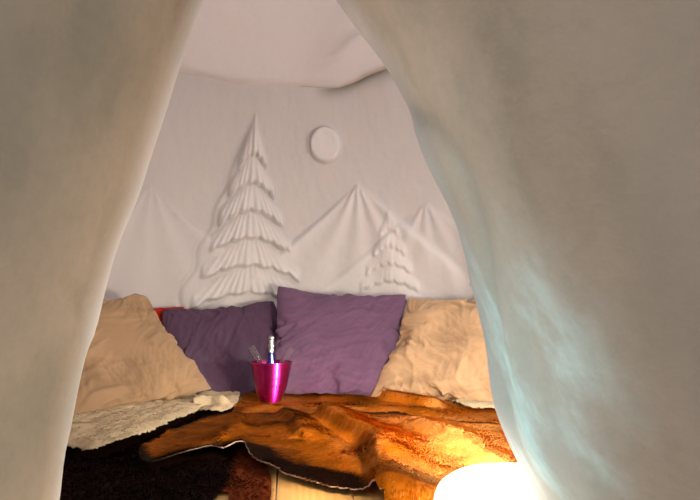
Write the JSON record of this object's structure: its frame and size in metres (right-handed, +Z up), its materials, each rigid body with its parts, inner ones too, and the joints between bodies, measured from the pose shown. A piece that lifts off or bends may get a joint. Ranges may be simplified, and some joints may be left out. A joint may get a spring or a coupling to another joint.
{
  "type": "igloo bedroom",
  "caption": "Free-standing snow igloo with a pointed doorway, domed room, carved back wall and a wooden bed platform with hides, fleeces, pillows and an ice bucket.",
  "frame": {"origin": "on the ground at the middle of the footprint's box", "axes": "+Z up, +X to the right seen from outside the doorway, the doorway faces -Y"},
  "size_m": [4.1996, 4.0351, 3.45],
  "materials": {
    "snow_shell": "packed snow, softly undulating, matt",
    "carved_snow": "carved packed snow, matt",
    "lit_snow": "snow lit from inside by a lamp",
    "pine": "planed pine with knots",
    "dark_fur": "dark brown reindeer hide, dense short fur",
    "tan_fur": "orange-brown hide, short glossy fur",
    "white_fleece": "curly sheepskin",
    "tan_linen": "crumpled washed linen",
    "purple_linen": "crumpled washed linen",
    "red_cloth": "plain woven cloth",
    "pink_metal": "lacquered metal, glossy",
    "bottle_glass": "dark green bottle glass",
    "silver_foil": "crinkled foil",
    "clear_glass": "clear thin glass"
  },
  "bodies": {
    "root": {"front_wall_left": "snow_shell", "front_wall_right": "snow_shell", "left_wall_front": "snow_shell", "left_wall_back": "snow_shell", "back_wall_left": "snow_shell", "back_wall_right": "snow_shell", "right_wall_back": "snow_shell", "right_wall_front": "snow_shell", "arch_head_left": "snow_shell", "arch_head_right": "snow_shell", "dome_left_front": "snow_shell", "dome_left_back": "snow_shell", "dome_back_left": "snow_shell", "dome_back_right": "snow_shell", "dome_right_back": "snow_shell", "dome_right_front": "snow_shell", "dome_crown": "snow_shell", "wall_carving": "carved_snow", "bed_plinth": "snow_shell", "deck_boards": "pine", "bed_front_board": "pine", "snow_stump": "lit_snow", "dark_hide": "dark_fur", "tan_hide_back": "tan_fur", "tan_hide_front": "tan_fur", "sheepskin_left": "white_fleece", "sheepskin_middle": "white_fleece", "sheepskin_right": "white_fleece", "pillow_tan_left": "tan_linen", "pillow_purple_left": "purple_linen", "pillow_purple_right": "purple_linen", "pillow_tan_right": "tan_linen", "red_cushion": "red_cloth", "ice_bucket": "pink_metal", "bottle": "bottle_glass", "bottle_foil": "silver_foil", "glass_right": "clear_glass", "glass_left": "clear_glass"}
  },
  "joints": []
}
